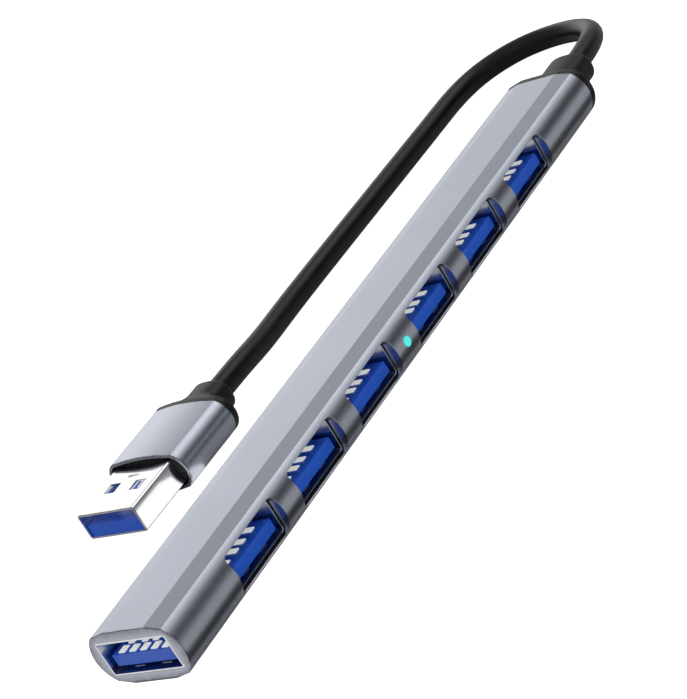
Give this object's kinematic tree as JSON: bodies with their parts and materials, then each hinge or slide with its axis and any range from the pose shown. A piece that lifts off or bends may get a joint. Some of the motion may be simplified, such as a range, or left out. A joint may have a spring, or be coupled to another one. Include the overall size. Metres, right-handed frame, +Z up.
{
  "type": "usb hub",
  "caption": "Slim bar-shaped aluminium USB hub with one port in its front end, a row of ports along one side and a short captive cable with a plug.",
  "frame": {"origin": "centre of the hub on the surface that it lies on, without the cable and plug", "axes": "+Y along the hub towards the cable end, +X out of the side ports, +Z up"},
  "size_m": [0.0463, 0.1727, 0.0088],
  "materials": {
    "anodised_aluminium": "fine bead-blasted, light grey anodised",
    "black_moulding": "fine matt moulded black",
    "cable_jacket": "satin flexible jacket",
    "plug_steel": "bright nickel plate",
    "port_steel": "drawn nickel-plated steel",
    "blue_plastic": "moulded, slightly glossy",
    "plated_contacts": "pale flash plating",
    "board_laminate": "solder mask over glass laminate",
    "chip_resin": "matt moulded resin",
    "crystal_can": "pressed can",
    "ceramic_capacitor": "fired ceramic",
    "lamp_package": "clear resin",
    "lit_light_pipe": "milky light pipe, lit cyan",
    "wire_insulation": "extruded insulation"
  },
  "bodies": {
    "root": {"cable_end_in_hub": "cable_jacket", "cable_end_in_plug": "cable_jacket", "cable_wires_in_hub": "wire_insulation", "cable_wires_in_plug": "wire_insulation", "capacitors": "ceramic_capacitor", "circuit_board": "board_laminate", "crystal": "crystal_can", "end_port_contacts": "plated_contacts", "end_port_fast_contacts": "plated_contacts", "end_port_insulator": "blue_plastic", "end_port_shell": "port_steel", "housing_tube": "anodised_aluminium", "hub_controller_front": "chip_resin", "hub_controller_rear": "chip_resin", "lamp_light_pipe": "lit_light_pipe", "plug_contact_pads": "plated_contacts", "plug_core": "black_moulding", "plug_fast_springs": "plated_contacts", "plug_insulator": "blue_plastic", "plug_rear_cap": "black_moulding", "plug_shell": "plug_steel", "plug_sleeve": "anodised_aluminium", "rear_end_cap": "black_moulding", "side_port_1_contacts": "plated_contacts", "side_port_1_insulator": "blue_plastic", "side_port_1_shell": "port_steel", "side_port_2_contacts": "plated_contacts", "side_port_2_insulator": "blue_plastic", "side_port_2_shell": "port_steel", "side_port_3_contacts": "plated_contacts", "side_port_3_insulator": "blue_plastic", "side_port_3_shell": "port_steel", "side_port_4_contacts": "plated_contacts", "side_port_4_insulator": "blue_plastic", "side_port_4_shell": "port_steel", "side_port_5_contacts": "plated_contacts", "side_port_5_insulator": "blue_plastic", "side_port_5_shell": "port_steel", "side_port_6_contacts": "plated_contacts", "side_port_6_insulator": "blue_plastic", "side_port_6_shell": "port_steel", "status_lamp": "lamp_package", "usb_cable": "cable_jacket", "voltage_regulator": "chip_resin"}
  },
  "joints": []
}
